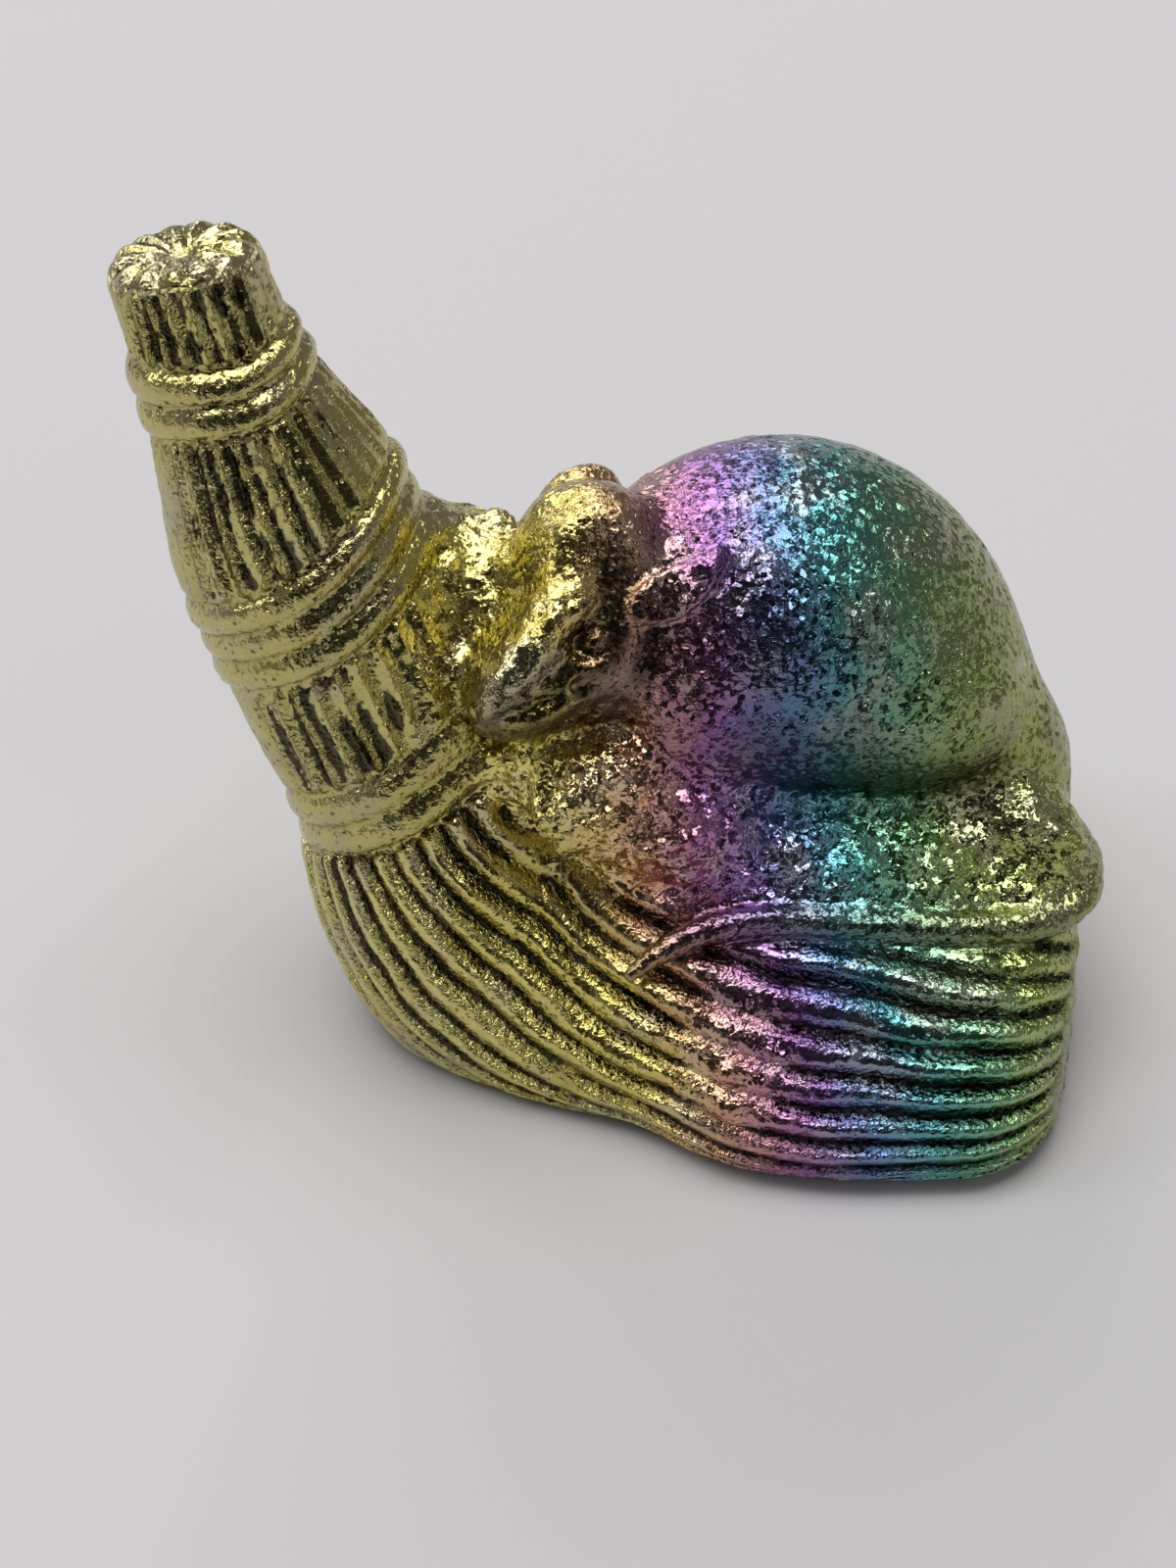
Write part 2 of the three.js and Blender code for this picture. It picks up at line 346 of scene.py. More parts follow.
head_section = smoothly(HEAD_SECTIONS)


def in_head(p):
    """Where points are in the broom's head: station along the bristles, depth, y."""
    q = p - TURN_LINE
    sweep = TIP_SWEEP * q[:, 1] ** 2 * smoothstep(HEEL_RUN + q[:, 0], HEEL_RUN, HEEL_RUN + FLAT_RUN)
    x, z = q[:, 0] + sweep, q[:, 2]
    way = np.arctan2(z, x)
    way = np.where(way > math.pi / 2, way - 2 * math.pi, way)
    start = -math.pi / 2 - HEEL_TURN
    turned = HEEL_RUN * (way - start) / HEEL_TURN
    above_neck = -(x * math.sin(start) - z * math.cos(start))
    station = np.where(x > 0, HEEL_RUN + x, np.where(way < start, above_neck, turned))
    neck_depth = x * math.cos(start) + z * math.sin(start)
    depth = np.where(x > 0, -z, np.where(way < start, neck_depth, np.hypot(x, z)))
    return station, depth, q[:, 1]


def head_section_at(p):
    """Station, share of the outline there, angle from straight below, distance from its middle."""
    station, depth, y = in_head(p)
    half_width, top, widest, bottom = head_section(station).T
    fanned = smoothstep(station, 0, HEEL_RUN)
    below = depth > widest
    spread = np.where(below, UNDERSIDE_ROUNDNESS, TOP_ROUNDNESS)
    power = NECK_ROUNDNESS + fanned * (spread - NECK_ROUNDNESS)
    reach = np.where(below, bottom - widest, widest - top)
    side = np.abs(y / half_width) ** power
    drop = np.abs((depth - widest) / reach) ** power
    share = (side + drop) ** (1 / power)
    angle = np.arctan2(np.sign(y) * np.sqrt(side), np.where(below, 1, -1) * np.sqrt(drop))
    return station, share, angle, np.hypot(y, depth - widest)


def broom_head(p):
    station, share, _, out = head_section_at(p)
    skin = out * (1 - 1 / np.maximum(share, 0.05))
    ends = np.maximum(station - HEEL_RUN - FLAT_RUN, -NECK_RUN - station)
    return trimmed(skin, ends, TIP_EDGE)


# The web
# Metal that fills the corner between the handle and the rat's chest, left from the mould.
# A thinner apron of it comes forward beside the rat's snout, and a lump stands on its top.

WEB = [
    (-12.2, 2.2, 27.6, 4.2),
    (-9.6, 2.4, 27.1, 4.4),
    (-6.6, 2.6, 25.4, 4.5),
    (-2.4, 2.4, 22.4, 5.0),
    (2.0, 2.0, 17.6, 6.4),
    (6.0, 2.2, 13.0, 7.0),
]
WEB_APRON = [
    (-9.4, -0.4, 28.8, 1.8),
    (-8.6, -1.4, 25.2, 2.2),
    (-8.0, -2.4, 21.8, 2.2),
    (-6.6, -3.4, 18.4, 1.8),
]
WEB_LUMP = ((-4.0, 3.0, 28.9), (0.9, 0.8, 0.7), (0, 0, 0))
APRON_FILLET = 1.2
WEB_LUMP_FILLET = 0.4
LIMB_MARGIN = 4.0
LIMB_SAMPLES = 160
LIMB_SMOOTHING = 8


def through(points, count):
    """Points on a smooth curve through the ones given, closer together at its ends."""
    points = np.array(points, float)
    padded = np.vstack([2 * points[0] - points[1], points, 2 * points[-1] - points[-2]])
    along = (1 - np.cos(np.linspace(0, math.pi, count))) / 2 * (len(points) - 1)
    i = np.minimum(along.astype(int), len(points) - 2)
    t = (along - i)[:, None]
    a, b, c, d = padded[i], padded[i + 1], padded[i + 2], padded[i + 3]
    return b + t / 2 * (c - a + t * (2 * a - 5 * b + 4 * c - d + t * (3 * (b - c) + d - a)))


def balls_in(points, count):
    """Balls along a limb's middle, each as big as the limb is there, given round ends."""
    rows = through(points, LIMB_SAMPLES)
    girth = rows[:, 3] * np.sqrt(np.sin(np.linspace(0, math.pi, LIMB_SAMPLES)).clip(0))
    run = np.r_[0, np.cumsum(np.linalg.norm(np.diff(rows[:, :3], axis=0), axis=1))]
    places = np.linspace(0, run[-1], count + 2)[1:-1]
    middles = np.stack([np.interp(places, run, rows[:, k]) for k in range(3)], 1)
    radii = np.hypot(places[:, None] - run, girth).min(1)
    for _ in range(LIMB_SMOOTHING):
        middles[1:-1] = (middles[:-2] + 2 * middles[1:-1] + middles[2:]) / 4
        radii[1:-1] = (radii[:-2] + 2 * radii[1:-1] + radii[2:]) / 4
    return middles, radii


def limb(p, points, balls=24):
    """The distance to a limb through (x, y, z, radius) points, with round ends."""
    middles, radii = balls_in(points, balls)
    low = (middles - radii[:, None]).min(0) - LIMB_MARGIN
    high = (middles + radii[:, None]).max(0) + LIMB_MARGIN
    near = ((p > low) & (p < high)).all(1)
    q = p[near]
    found = np.full(len(q), LIMB_MARGIN)
    for k in range(balls - 1):
        run = middles[k + 1] - middles[k]
        t = ((q - middles[k]) @ run / (run @ run)).clip(0, 1)
        gap = np.linalg.norm(q - middles[k] - t[:, None] * run, axis=1)
        found = np.minimum(found, gap - radii[k] - t * (radii[k + 1] - radii[k]))
    away = np.full(len(p), LIMB_MARGIN)
    away[near] = found
    return away


def mass(p, form):
    """The distance to an ellipsoid: its centre, its radii, and its turns in degrees."""
    centre, radii, turn = form
    turned = np.array(Euler([math.radians(t) for t in turn], "XYZ").to_matrix())
    q = (p - centre) @ turned
    once = np.linalg.norm(q / radii, axis=1)
    twice = np.linalg.norm(q / np.square(radii), axis=1)
    return once * (once - 1) / np.maximum(twice, 1e-6)


def web(p):
    filled = joined(limb(p, WEB), limb(p, WEB_APRON), APRON_FILLET)
    return joined(filled, mass(p, WEB_LUMP), WEB_LUMP_FILLET)


# The rat's body
# A round crouching body with a haunch and a shoulder on each side, and a rump over the tail's
# root. The far side of the rat mirrors the near side, about a middle of its own for each pair.

BODY = [
    (0.0, 0.2, 27.8, 3.6),
    (3.6, 1.4, 26.0, 7.0),
    (7.4, 2.8, 23.4, 9.4),
    (11.0, 3.9, 21.2, 10.3),
    (15.0, 3.6, 18.7, 9.6),
    (19.2, 1.9, 15.7, 7.3),
    (24.2, -0.6, 13.0, 3.6),
]
HAUNCH = ((16.4, -0.4, 18.8), (6.2, 5.0, 6.0), (0, 25, 0))
SHOULDER = ((5.6, -1.6, 21.4), (4.4, 4.2, 5.4), (0, -20, 0))
RUMP = ((20.6, 0.4, 14.0), (4.5, 3.4, 4.4), (0, 0, 0))
HAUNCH_MIDDLE = 3.0
SHOULDER_MIDDLE = 2.4
BELLY = (np.array([0.0, -0.643, -0.766]), -9.2)
BELLY_EDGE = 2.2
FLESH_FILLET = 1.2
RUMP_FILLET = 2.4


def across_mass(form, y):
    """The same ellipsoid on the far side of a middle that lies at y."""
    (cx, cy, cz), radii, (tx, ty, tz) = form
    return (cx, 2 * y - cy, cz), radii, (-tx, ty, -tz)


def side_of(p, plane):
    """How far out points are from a flat side."""
    facing, reach = plane
    return p @ facing - reach


def body(p):
    flesh = limb(p, BODY, balls=36)
    for form, middle in ((HAUNCH, HAUNCH_MIDDLE), (SHOULDER, SHOULDER_MIDDLE)):
        flesh = joined(flesh, mass(p, form), FLESH_FILLET)
        flesh = joined(flesh, mass(p, across_mass(form, middle)), FLESH_FILLET)
    flesh = trimmed(flesh, side_of(p, BELLY), BELLY_EDGE)
    return joined(flesh, mass(p, RUMP), RUMP_FILLET)


# The rat's head
# It is turned to the near side, its chin down on the broom's neck. A narrow ridge down the
# snout bounds its flat near side. The eyes are balls in almond sockets, each under a brow,
# and the mouth is a short cut below the snout.

HEAD = [
    (3.4, 1.4, 28.5, 4.8),
    (0.1, 0.1, 28.5, 5.3),
    (-2.2, -3.1, 25.2, 4.0),
    (-4.2, -5.0, 23.3, 2.7),
    (-5.2, -5.9, 22.4, 2.0),
]
SNOUT = [
    (0.5, -2.2, 29.6, 1.2),
    (-0.8, -3.6, 28.5, 1.2),
    (-2.1, -4.9, 27.1, 1.15),
    (-3.6, -5.8, 25.6, 1.3),
    (-5.0, -6.5, 24.0, 1.2),
]
NEAR_SIDE = (np.array([0.151, -0.818, 0.555]), 18.9)
FAR_SIDE = (np.array([-0.760, 0.083, 0.641]), 19.8)
SIDE_EDGE = 0.5
FAR_SIDE_EDGE = 1.2
CROWN = ((0.5, 0.5, 28.3), (3.7, 3.5, 4.0), (0, -15, 0))
CHEEK = ((1.0, -2.6, 24.2), (2.8, 2.6, 3.0), (0, 0, 0))
BROW = ((-0.4, -3.85, 28.3), (1.3, 0.7, 0.45), (-30, -28, 0))
SOCKET = ((0.6, -4.75, 26.95), (1.2, 0.6, 0.9), (-34, -20, 0))
EYE = ((0.6, -4.4, 26.75), (0.62, 0.5, 0.5), (-34, -20, 0))
CHEEK_HOLLOW = ((0.2, -5.9, 25.0), (0.9, 0.5, 0.6), (-34, 0, 0))
MOUTH = [
    (-0.9, -6.2, 25.0, 0.3),
    (-2.4, -6.7, 24.6, 0.35),
    (-3.6, -7.1, 24.3, 0.45),
    (-4.6, -7.5, 24.0, 0.4),
]
FACE_MIDDLE = -1.2
CROWN_FILLET = 1.4
SNOUT_FILLET = 0.6
CHEEK_FILLET = 0.8
BROW_FILLET = 0.5
SOCKET_EDGE = 0.4
EYE_FILLET = 0.12
HOLLOW_EDGE = 0.5
MOUTH_EDGE = 0.4


def face(p):
    skull = trimmed(limb(p, HEAD, balls=28), side_of(p, FAR_SIDE), FAR_SIDE_EDGE)
    skull = joined(skull, mass(p, CROWN), CROWN_FILLET)
    skull = trimmed(skull, side_of(p, NEAR_SIDE), SIDE_EDGE)
    skull = joined(skull, limb(p, SNOUT, balls=20), SNOUT_FILLET)
    skull = joined(skull, mass(p, CHEEK), CHEEK_FILLET)
    for near in (True, False):
        brow, socket, eye = (
            form if near else across_mass(form, FACE_MIDDLE) for form in (BROW, SOCKET, EYE)
        )
        skull = joined(skull, mass(p, brow), BROW_FILLET)
        skull = carved(skull, mass(p, socket), SOCKET_EDGE)
        skull = joined(skull, mass(p, eye), EYE_FILLET)
    skull = carved(skull, mass(p, CHEEK_HOLLOW), HOLLOW_EDGE)
    return carved(skull, limb(p, MOUTH, balls=12), MOUTH_EDGE)


# The ears
# The near ear lies back along the shoulder, a leaf of even thickness with a dished
# middle. The far one stands up behind the crown.

NEAR_EAR = [
    (2.2, -3.6, 27.7, 1.0),
    (3.6, -3.6, 28.2, 1.35),
    (5.2, -3.2, 29.0, 1.25),
    (7.2, -1.6, 29.9, 0.45),
]
NEAR_EAR_DISH = [(3.0, -4.7, 28.0, 0.4), (4.4, -4.6, 28.3, 0.7), (5.9, -3.9, 29.2, 0.4)]
FAR_EAR = [
    (-2.0, 3.0, 28.8, 1.0),
    (-0.7, 3.6, 29.6, 1.2),
    (0.9, 4.3, 30.1, 1.3),
    (2.3, 4.4, 29.4, 1.0),
]
NEAR_EAR_RISE = 0.75
NEAR_EAR_EDGE = 0.3
NEAR_EAR_FILLET = 0.5
DISH_EDGE = 0.4
FAR_EAR_FILLET = 0.6


def ears(p, flesh):
    """The rat's flesh with its ears."""
    leaf = trimmed(flesh - NEAR_EAR_RISE, limb(p, NEAR_EAR, balls=16), NEAR_EAR_EDGE)
    eared = joined(flesh, leaf, NEAR_EAR_FILLET)
    eared = carved(eared, limb(p, NEAR_EAR_DISH, balls=12), DISH_EDGE)
    return joined(eared, limb(p, FAR_EAR, balls=16), FAR_EAR_FILLET)


# The paws
# The forepaws are tucked under the chin, and the hind feet show beside the tail's root.

FOREPAW = [
    (4.6, -3.8, 20.6, 1.8),
    (1.8, -5.0, 19.0, 1.4),
    (-0.8, -5.9, 17.8, 1.1),
    (-2.6, -6.3, 17.2, 0.7),
]
HIND_FOOT = [(19.8, -2.0, 14.8, 1.8), (22.6, -3.2, 13.3, 2.1), (25.0, -4.4, 12.2, 1.5)]
FOREPAW_TOE = [(0.4, -6.4, 19.0, 0.35), (-1.2, -6.9, 18.1, 0.42), (-2.6, -7.1, 17.4, 0.3)]
HIND_TOE = [(21.4, -4.2, 14.7, 0.5), (23.5, -5.0, 13.8, 0.6), (25.4, -5.5, 12.8, 0.4)]
TOE_STEP = np.array([0.35, -0.1, -0.8])
TOES = 3
FOREPAW_MIDDLE = 1.1
HIND_FOOT_MIDDLE = 1.0
HIND_FOOT_TUCK = 5.0
TOE_FILLET = 0.35
PAW_FILLET = 0.3


def paw(p, points, toe):
    """A paw and its toes."""
    found = limb(p, points, balls=12)
    for k in range(TOES):
        shift = k * TOE_STEP
        ridge = [(x + shift[0], y + shift[1], z + shift[2], radius) for x, y, z, radius in toe]
        found = joined(found, limb(p, ridge, balls=8), TOE_FILLET)
    return found


def paws(p):
    """The four paws. The far hind foot is tucked further under the body."""
    found = joined(paw(p, FOREPAW, FOREPAW_TOE), paw(p, HIND_FOOT, HIND_TOE), PAW_FILLET)
    far = p * (1, -1, 1) + (0, 2 * FOREPAW_MIDDLE, 0)
    found = joined(found, paw(far, FOREPAW, FOREPAW_TOE), PAW_FILLET)
    far = p * (1, -1, 1) + (HIND_FOOT_TUCK, 2 * HIND_FOOT_MIDDLE, 0)
    return joined(found, paw(far, HIND_FOOT, HIND_TOE), PAW_FILLET)


# The seat
# Broken, crystalline metal lies in the crease between the rat and the broom. It swells under
# the chest and the throat, and at the tail's bend.

SEAT = ((12.5, -2.8, 11.5), (14.0, 5.3, 4.0), (0, 8.3, 0))
CHEST_SEAT = ((4.0, -4.2, 15.2), (6.6, 3.6, 3.5), (0, 22, 0))
TAIL_SEAT = ((22.3, -5.4, 10.4), (2.8, 2.4, 1.4), (0, 0, 0))
THROAT_SEAT = ((-1.0, -3.7, 18.2), (4.2, 2.0, 2.5), (0, 12, 0))
SWELL_FILLET = 1.2


def seat(p):
    filled = mass(p, SEAT)
    for swelling in (CHEST_SEAT, THROAT_SEAT, TAIL_SEAT):
        filled = joined(filled, mass(p, swelling), SWELL_FILLET)
    return filled


# The tail
# It comes round from the back along the near edge of the seat, to a point by the neck.

TAIL = [
    (22.8, -1.2, 12.2, 1.8),
    (25.3, -3.2, 11.6, 1.4),
    (25.7, -6.2, 10.3, 1.05),
    (22.2, -8.3, 10.1, 0.95),
    (16.0, -8.6, 10.7, 0.9),
    (10.0, -8.6, 11.6, 0.88),
    (6.0, -9.0, 11.7, 0.85),
    (3.2, -9.9, 11.0, 0.8),
    (1.2, -11.0, 9.9, 0.5),
]


def tail(p):
    return limb(p, TAIL, balls=48)


# The casting
# Every shape above, poured as one piece of bismuth and ground flat underneath. Its skin
# is found on a fine grid of cells, one point to each cell that the metal's edge crosses.

HEAD_FILLET = 1.0
PAWS_FILLET = 1.0
BROOM_FILLET = 2.4
WEB_FILLET = 2.0
RAT_FILLET = 0.7
SEAT_FILLET = 2.2
TAIL_FILLET = 0.4
FOOT_EDGE = 0.35
WEB_CORNER = ((-5.6, -1.5, 27.0), 2.5, 3.5)
WEB_CORNER_FILLET = 1.9
REAR_CORNER = ((23.5, -1.5, 14.0), 3.0, 5.0)
REAR_CORNER_FILLET = 1.4
CELL = 0.3
COARSE = 4
MARGIN = 0.9
EXTRA_MARGIN = 0.6
FILLED = 0.01
FILLING_ROUNDS = 6
NEARING_ROUNDS = 2
LEAST_SLOPE = 0.2


def soft_patch(p, patch):
    """1 within a patch's radius of its centre, running out to 0 over its edge."""
    centre, radius, edge = patch
    return 1 - smoothstep(np.linalg.norm(p - np.array(centre), axis=1), radius, radius + edge)


def rat(p):
    whole = ears(p, joined(body(p), face(p), HEAD_FILLET))
    return joined(whole, paws(p), PAWS_FILLET)


def casting(p):
    whole = joined(handle(p), broom_head(p), BROOM_FILLET)
    whole = joined(whole, web(p), WEB_FILLET)
    rat_fillet = RAT_FILLET + WEB_CORNER_FILLET * soft_patch(p, WEB_CORNER)
    whole = joined(whole, rat(p), rat_fillet)
    seat_fillet = SEAT_FILLET + REAR_CORNER_FILLET * soft_patch(p, REAR_CORNER)
    whole = joined(whole, seat(p), seat_fillet)
    whole = joined(whole, tail(p), TAIL_FILLET)
    return trimmed(whole, -p[:, 2], FOOT_EDGE)


def grid_values(low, counts, cell):
    """The casting's distance at every corner of a grid, sampled only near its skin."""
    coarse_counts = [count // COARSE + 2 for count in counts]
    axes = [low[k] + cell * COARSE * np.arange(coarse_counts[k]) for k in range(3)]
    corners = np.stack(np.meshgrid(*axes, indexing="ij"), -1).reshape(-1, 3)
    coarse = casting(corners).reshape(coarse_counts)
    index = np.meshgrid(*[np.arange(count) for count in counts], indexing="ij")
    fine = coarse[tuple((i + COARSE // 2) // COARSE for i in index)]
    near = np.abs(fine) < cell * COARSE * MARGIN + EXTRA_MARGIN
    places = np.stack([i[near] for i in index], 1)
    fine[near] = casting(low + cell * places)
    return fine


def one_sheet_cells(values):
    """The same values, filled in where two sheets of the skin would meet in one cell."""
    for _ in range(FILLING_ROUNDS):
        for axis in range(3):
            one, two = [k for k in range(3) if k != axis]
            around = np.moveaxis(values, (one, two), (0, 1))
            near, far = around[:-1, :-1], around[1:, 1:]
            left, right = around[1:, :-1], around[:-1, 1:]
            metal = [corner < 0 for corner in (near, far, left, right)]
            across = metal[0] & metal[1] & ~metal[2] & ~metal[3]
            back = ~metal[0] & ~metal[1] & metal[2] & metal[3]
            left[across] = right[across] = -FILLED
            near[back] = far[back] = -FILLED
    return values


def surface_points(values, low, cell):
    """One point for each cell that the skin crosses, and each cell's point number."""
    inside = values < 0
    crossed = np.zeros([n - 1 for n in values.shape], bool)
    first = inside[:-1, :-1, :-1]
    shifts = [(i, j, k) for i in (0, 1) for j in (0, 1) for k in (0, 1)]
    nx, ny, nz = crossed.shape
    for i, j, k in shifts:
        crossed |= inside[i : i + nx, j : j + ny, k : k + nz] != first
    cells = np.argwhere(crossed)
    number = np.full(crossed.shape, -1)
    number[tuple(cells.T)] = np.arange(len(cells))
    total, count = np.zeros((len(cells), 3)), np.zeros(len(cells))
    for start in shifts:
        for axis in range(3):
            if start[axis]:
                continue
            end = list(start)
            end[axis] = 1
            a = values[tuple((cells + start).T)]
            b = values[tuple((cells + end).T)]
            cut = (a < 0) != (b < 0)
            t = np.where(cut, a / np.where(cut, a - b, 1), 0)
            place = np.array(start, float) + t[:, None] * (np.array(end) - start)
            total += place * cut[:, None]
            count += cut
    return low + cell * (cells + total / count[:, None]), number


def surface_faces(values, number):
    """Four-sided faces round every grid edge that the skin crosses, facing out of the metal."""
    faces = []
    for axis in range(3):
        others = [k for k in range(3) if k != axis]
        a = np.take(values, range(values.shape[axis] - 1), axis) < 0
        b = np.take(values, range(1, values.shape[axis]), axis) < 0
        edges = np.argwhere(a != b)
        leaving = a[tuple(edges.T)]
        step_one, step_two = np.eye(3, dtype=int)[others[0]], np.eye(3, dtype=int)[others[1]]
        around = [edges - step_one - step_two, edges - step_two, edges, edges - step_one]
        quad = np.stack([number[tuple(cells.T)] for cells in around], 1)
        flip = leaving if axis == 1 else ~leaving
        quad[flip] = quad[flip][:, ::-1]
        faces.append(quad)
    return np.vstack(faces)


def slopes(p, step=0.02):
    """The casting's distance at points, and which way it grows."""
    here = casting(p)
    ways = [(casting(p + step * way) - here) / step for way in np.eye(3)]
    return here, np.stack(ways, 1)


low = np.array([-23.0, -18.6, -1.5 * CELL])
high = np.array([28.0, 20.4, 47.0])
counts = [int(n) for n in np.ceil((high - low) / CELL) + 1]
values = one_sheet_cells(grid_values(low, counts, CELL))
points, number = surface_points(values, low, CELL)
faces = surface_faces(values, number)
for _ in range(NEARING_ROUNDS):
    away, way = slopes(points)
    step = away / np.maximum((way**2).sum(1), LEAST_SLOPE)
    points -= np.clip(step, -CELL / 2, CELL / 2)[:, None] * way
points[:, 2] = np.maximum(points[:, 2], 0)


# Where each finish lies on the casting
# The straw's ridges, the lumpy skin, the painted shade in crevices and under the rat, and the bare,
# greyer metal each belong to a feature of the casting. Every point of the skin is told how much of each it
# has.

FEATURE_BLUR = 0.35
FLOOR_EDGE = (0.15, 0.9)
STRAW_DEPTH = 0.5
STRAW_POWER = 0.8
WORN_STRAW = 0.4
UNWORN_FACING = (0.45, 0.85)
KNOB_DEPTH = 0.4
KNOB_PETALS = 13
KNOB_RIM = (HANDLE_TOP - 0.9, HANDLE_TOP - 0.3)
PETAL_POWER = 2.0
PETAL_START = (0.5, 1.4)
PETAL_END = (3.0, 3.9)
BRISTLE_DEPTH = 0.8
BRISTLE_POWER = 3.0
BRISTLE_FALL = 0.13
BRISTLE_END = HEEL_RUN + FLAT_RUN
BRISTLE_FADE = 0.5
NECK_LEAN = 0.15
NECK_LEAN_RUN = 9.0
NECK_LEAN_POWER = 1.5
SEAT_LINE = smoothly([(-14, 17.6), (-6, 17.5), (0, 15.4), (5.5, 13.2), (10, 11.2), (26, 9.6)])
SEAT_LINE_EDGE = (-0.5, 0.3)
SEAT_SPILL = (0.3, 1.8)
SNOUT_SKIN = (0.1, 0.6)
BROKEN_BRISTLES = ((6.5, -14.0, 6.5), 2.2, 2.6)
BROKEN_SHARE = 0.6
TILTED_BRISTLES = ((1.4, -11.8, 7.6), 2.0, 2.8)
BRISTLE_TILT = 0.8

FACE_PATCH = ((-0.5, -5.0, 27.2), 4.2, 1.4)
CROWN_PATCH = ((0.2, -1.2, 31.4), 2.4, 1.8)
NOSE_PATCH = ((-3.6, -6.0, 24.8), 2.2, 2.2)
EYE_PATCH = (EYE[0], 0.8, 0.9)
JAW_PATCH = ((-1.0, -4.8, 23.2), 4.2, 1.6)
THROAT_PATCH = ((0.0, -6.0, 20.2), 2.6, 1.6)
FOREPAW_PATCH = ((-0.4, -5.8, 18.2), 2.6, 1.4)
HIND_FOOT_PATCH = ((23.0, -4.6, 13.4), 2.2, 1.6)

WEB_BREAKAGE = 0.45
SPILT_BREAKAGE = 0.8
PAW_LUMPS = 0.5
SNOUT_LUMPS = 0.4
BRISTLE_LUMPS = 0.5
THROAT_LUMPS = 0.9
TIP_LUMPS = 0.4
LUMP_LEAST = 0.02
LUMP_OF_RAT = 0.01
LUMP_HEIGHT = 0.2
GRAIN_LEAST = 0.25
GRAIN_OF_RAT = 0.75
GRAIN_WORN_OFF = 0.55
GRAIN_BROKEN = 0.6
GRAIN_OF_TAIL = 0.2
GRAIN_BROKEN_BRISTLES = 0.5
BARE_TAIL = 0.3
BARE_NOSE = 0.8

# Painted shade: how far the darkening in crevices, under the rat, on the face's near side, under the jaw
# and in the eye reaches, and how dark each one is.
HOLLOW_REACH = 0.9
RECESS_REACH = 5.0
BELLY_START = (4.0, 9.0)
BELLY_CLOSED = (0.15, 0.9)
FACING_DOWN = (-0.5, 0.2)
JAW_FACING_DOWN = (-0.3, 0.2)
FACE_SIDE_FACING = (0.75, 0.92)
FACE_SIDE_INSET = (0.8, 1.8)
UNDERSIDE = 0.75
BELLY_SHADE = 0.62
FACE_SHADE = 0.75
JAW_SHADE = 0.75
EYE_SHADE = 0.55
TAIL_SHADE = 0.3


def shares_of(distances):
    """How much each feature has of a point, from how near it is to each one's skin."""
    nearness = np.exp(-np.stack(distances, 1) / FEATURE_BLUR)
    return (nearness / nearness.sum(1)[:, None]).T


def closed_in(reach):
    """How far other metal closes in on each point of the skin, within a reach above it."""
    return 1 - np.clip(casting(points + reach * normals) / reach, 0, 1)


of_handle, of_broom, of_web, of_seat, of_rat, of_tail = shares_of(
    [np.abs(shape(points)) for shape in (handle, broom_head, web, seat, rat, tail)]
)
_, way = slopes(points)
normals = way / np.linalg.norm(way, axis=1)[:, None]
off_floor = smoothstep(points[:, 2], *FLOOR_EDGE)

z, out, angle = in_handle(points)
_, tied = cord_at(z, angle)
on_top = smoothstep(z, *KNOB_RIM)
turned = (angle - math.pi / 2) % (2 * math.pi) / (2 * math.pi)
straws = np.where(z > TIES[-1]["height"], KNOB_STRAWS, STRAWS)
straw_count = turned * np.where(on_top > 0.5, KNOB_PETALS, straws)
petal = smoothstep(out, *PETAL_START) * (1 - smoothstep(out, *PETAL_END))
unworn = WORN_STRAW + (1 - WORN_STRAW) * smoothstep(-normals[:, 1], *UNWORN_FACING)
straw_depth = STRAW_DEPTH * unworn * (1 - on_top) * (1 - tied)
straw_depth = np.where(on_top > 0.5, KNOB_DEPTH * petal, straw_depth)
straw_power = np.where(on_top > 0.5, PETAL_POWER, STRAW_POWER)

station, share, angle, _ = head_section_at(points)
bristle_count = (angle / (2 * math.pi) - 0.5 * np.sign(angle)) * smoothly(BRISTLES)(station)[:, 0]
bristle_count += np.sign(angle) * BRISTLE_FALL * np.maximum(station - HEEL_RUN / 2, 0)
leaning = (np.abs(angle) / math.pi) ** NECK_LEAN_POWER * np.clip(station + NECK_RUN, 0, NECK_LEAN_RUN)
bristle_count -= np.sign(angle) * NECK_LEAN * leaning
below_seat = 1 - smoothstep(points[:, 2] - SEAT_LINE(points[:, 0])[:, 0], *SEAT_LINE_EDGE)
tips = smoothstep(station, BRISTLE_END - BRISTLE_FADE, BRISTLE_END)
broken_bristles = soft_patch(points, BROKEN_BRISTLES)
bristle_depth = BRISTLE_DEPTH * below_seat * (1 - tips) * (1 - tied) * (1 - BROKEN_SHARE * broken_bristles)

on_broom = (of_broom > of_handle) | (z < TIES[0]["height"])
of_straw = np.clip(of_handle + of_broom, 0, 1) * off_floor
ridge = np.where(on_broom, bristle_count, straw_count)
ridge_power = np.where(on_broom, BRISTLE_POWER, straw_power)
ridge_depth = np.where(on_broom, bristle_depth, straw_depth) * of_straw
ridge_lean = BRISTLE_TILT * soft_patch(points, TILTED_BRISTLES) * on_broom

on_snout = 1 - smoothstep(limb(points, SNOUT, balls=12), *SNOUT_SKIN)
on_face = soft_patch(points, FACE_PATCH)
on_crown = soft_patch(points, CROWN_PATCH)
on_paws = np.maximum(soft_patch(points, FOREPAW_PATCH), soft_patch(points, HIND_FOOT_PATCH))
near_seat = (1 - smoothstep(seat(points), *SEAT_SPILL)) * (1 - of_tail)
spilt = SPILT_BREAKAGE * near_seat * (1 - of_broom)
broken = np.max([of_broom * (1 - below_seat), of_seat, WEB_BREAKAGE * of_web, spilt], axis=0)
lumpy = np.max(
    [
        broken,
        PAW_LUMPS * on_paws,
        SNOUT_LUMPS * on_snout,
        BRISTLE_LUMPS * broken_bristles,
        THROAT_LUMPS * soft_patch(points, THROAT_PATCH),
        TIP_LUMPS * tips,
    ],
    axis=0,
)
